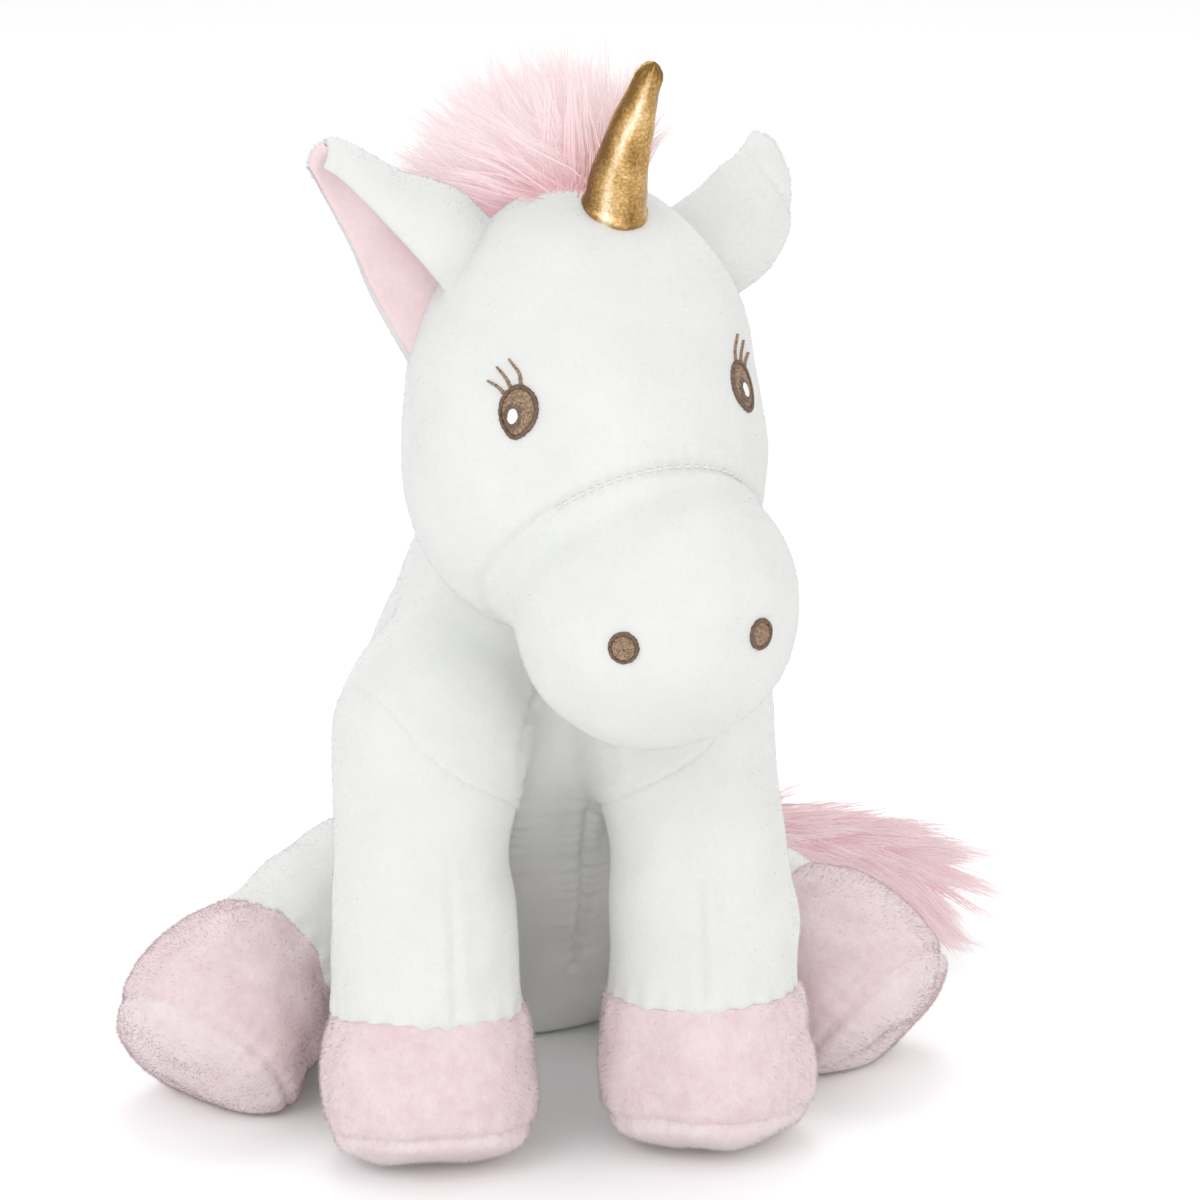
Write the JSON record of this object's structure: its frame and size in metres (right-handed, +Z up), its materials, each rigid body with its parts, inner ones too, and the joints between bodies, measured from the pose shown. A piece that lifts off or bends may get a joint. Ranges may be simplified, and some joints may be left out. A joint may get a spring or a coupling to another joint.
{
  "type": "plush unicorn",
  "caption": "Sitting plush unicorn with pink hooves, a padded gold horn, folded ears and a long-pile mane and tail",
  "frame": {"origin": "middle of the flat seat, on the surface that the unicorn sits on", "axes": "+Z up; the torso faces -Y; the unicorn's left side is +X"},
  "size_m": [0.2779, 0.2492, 0.2989],
  "materials": {
    "white_plush": "short smooth plush pile, soft sheen",
    "pink_plush": "short smooth plush pile, soft sheen",
    "long_pink_pile": "long tufted pile",
    "gold_lame": "metallic foil-coated fabric, shiny",
    "brown_thread": "satin stitch embroidery thread",
    "white_thread": "satin stitch embroidery thread",
    "stuffing": "loose polyester fibre",
    "pellet_fabric": "plain woven bag filled with pellets"
  },
  "bodies": {
    "torso": {"torso_cover": "white_plush", "belly_panel": "white_plush", "seat_panel": "white_plush", "torso_stuffing": "stuffing", "pellet_bag": "pellet_fabric", "closing_stitch": "white_thread"},
    "neck": {"neck_cover": "white_plush", "neck_stuffing": "stuffing"},
    "head": {"head_cover": "white_plush", "muzzle_cover": "white_plush", "head_stuffing": "stuffing", "horn_cover": "gold_lame", "horn_stuffing": "stuffing", "mane_backing": "long_pink_pile", "mane_pile": "long_pink_pile", "eye_right": "brown_thread", "eye_left": "brown_thread", "highlight_right": "white_thread", "highlight_left": "white_thread", "lashes_right": "brown_thread", "lashes_left": "brown_thread", "nostril_right": "brown_thread", "nostril_left": "brown_thread"},
    "ear_right": {"ear_right_outer": "white_plush", "ear_right_inner": "pink_plush"},
    "ear_left": {"ear_left_outer": "white_plush", "ear_left_inner": "pink_plush"},
    "front_right_leg": {"front_right_leg_cover": "white_plush", "front_right_leg_stuffing": "stuffing", "front_right_hoof_cover": "pink_plush", "front_right_sole": "pink_plush"},
    "front_left_leg": {"front_left_leg_cover": "white_plush", "front_left_leg_stuffing": "stuffing", "front_left_hoof_cover": "pink_plush", "front_left_sole": "pink_plush"},
    "hind_right_leg": {"hind_right_leg_cover": "white_plush", "hind_right_leg_stuffing": "stuffing", "hind_right_hoof_cover": "pink_plush", "hind_right_sole": "pink_plush"},
    "hind_left_leg": {"hind_left_leg_cover": "white_plush", "hind_left_leg_stuffing": "stuffing", "hind_left_hoof_cover": "pink_plush", "hind_left_sole": "pink_plush"},
    "tail": {"tail_root": "long_pink_pile", "tail_pile": "long_pink_pile"}
  },
  "joints": [
    {"name": "neck_nod", "type": "hinge", "parent": "torso", "child": "neck", "pos_m": [0, -0.08, 0.168], "axis": [1, 0, 0], "range_deg": [-12, 2], "stiffness_Nm_per_rad": 1.5},
    {"name": "head_turn", "type": "hinge", "parent": "neck", "child": "head", "pos_m": [0, -0.08, 0.168], "axis": [0, 0, 1], "range_deg": [-34, 2], "stiffness_Nm_per_rad": 0.8},
    {"name": "ear_right_flex", "type": "hinge", "parent": "head", "child": "ear_right", "pos_m": [-0.03071, -0.10306, 0.23798], "axis": [0.6391, 0.1058, 0.7618], "range_deg": [-20, 20], "stiffness_Nm_per_rad": 0.02},
    {"name": "ear_left_flex", "type": "hinge", "parent": "head", "child": "ear_left", "pos_m": [0.03832, -0.08261, 0.23798], "axis": [0.5936, 0.2593, -0.7618], "range_deg": [-20, 20], "stiffness_Nm_per_rad": 0.02},
    {"name": "front_right_swing", "type": "hinge", "parent": "torso", "child": "front_right_leg", "pos_m": [-0.038, -0.102, 0.10823], "axis": [1, 0, 0], "range_deg": [-30, 6], "stiffness_Nm_per_rad": 0.6},
    {"name": "front_left_swing", "type": "hinge", "parent": "torso", "child": "front_left_leg", "pos_m": [0.038, -0.102, 0.10823], "axis": [1, 0, 0], "range_deg": [-30, 6], "stiffness_Nm_per_rad": 0.6},
    {"name": "hind_right_lift", "type": "hinge", "parent": "torso", "child": "hind_right_leg", "pos_m": [-0.042, -0.021, 0.03505], "axis": [0.7071, -0.7071, 0], "range_deg": [-30, 0], "stiffness_Nm_per_rad": 0.6},
    {"name": "hind_left_lift", "type": "hinge", "parent": "torso", "child": "hind_left_leg", "pos_m": [0.042, -0.021, 0.03505], "axis": [0.7071, 0.7071, 0], "range_deg": [-30, 0], "stiffness_Nm_per_rad": 0.6},
    {"name": "tail_swing", "type": "hinge", "parent": "torso", "child": "tail", "pos_m": [0, 0.044, 0.018], "axis": [0, 0, 1], "range_deg": [-6, 60], "stiffness_Nm_per_rad": 0.05}
  ]
}
